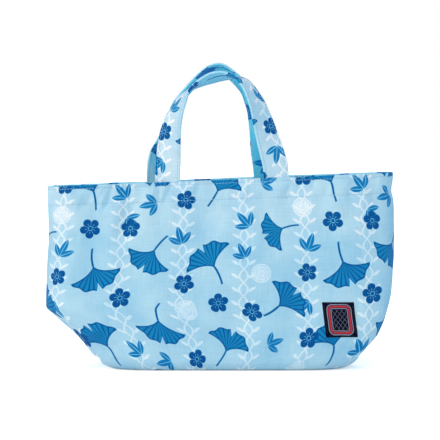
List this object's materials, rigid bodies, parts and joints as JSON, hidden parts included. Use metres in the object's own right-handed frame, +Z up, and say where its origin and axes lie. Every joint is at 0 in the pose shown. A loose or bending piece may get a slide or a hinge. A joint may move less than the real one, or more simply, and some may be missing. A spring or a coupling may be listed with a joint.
{
  "type": "mini tote bag",
  "caption": "Small soft cotton tote bag with boxed bottom corners, a turned hem and a pair of strap handles that swing over the rim; a woven label sits near a lower corner.",
  "frame": {"origin": "on the floor under the middle of the bag's box", "axes": "+Z up, +X along the rim to the right of the front, the front faces -Y"},
  "size_m": [0.3232, 0.0918, 0.2789],
  "materials": {
    "printed_cotton": "matt plain weave",
    "binding_tape": "matt tape",
    "label_weave": "fine woven"
  },
  "bodies": {
    "bag": {"front_panel": "printed_cotton", "back_panel": "printed_cotton", "front_hem": "printed_cotton", "back_hem": "printed_cotton", "front_handle_tail_left": "printed_cotton", "front_handle_tail_right": "printed_cotton", "back_handle_tail_left": "printed_cotton", "back_handle_tail_right": "printed_cotton", "left_side_seam": "binding_tape", "right_side_seam": "binding_tape", "bottom_seam": "binding_tape", "left_corner_seam": "binding_tape", "right_corner_seam": "binding_tape", "woven_label": "label_weave"},
    "front_handle": {"front_handle": "printed_cotton"},
    "back_handle": {"back_handle": "printed_cotton"}
  },
  "joints": [
    {"name": "front_handle_swing", "type": "hinge", "parent": "bag", "child": "front_handle", "pos_m": [0.001, -0.0248, 0.17234], "axis": [0.9992, 0, 0.0411], "range_deg": [0, 160]},
    {"name": "back_handle_swing", "type": "hinge", "parent": "bag", "child": "back_handle", "pos_m": [-0.007, 0.0248, 0.17201], "axis": [-0.9992, 0, -0.0411], "range_deg": [0, 160]}
  ]
}
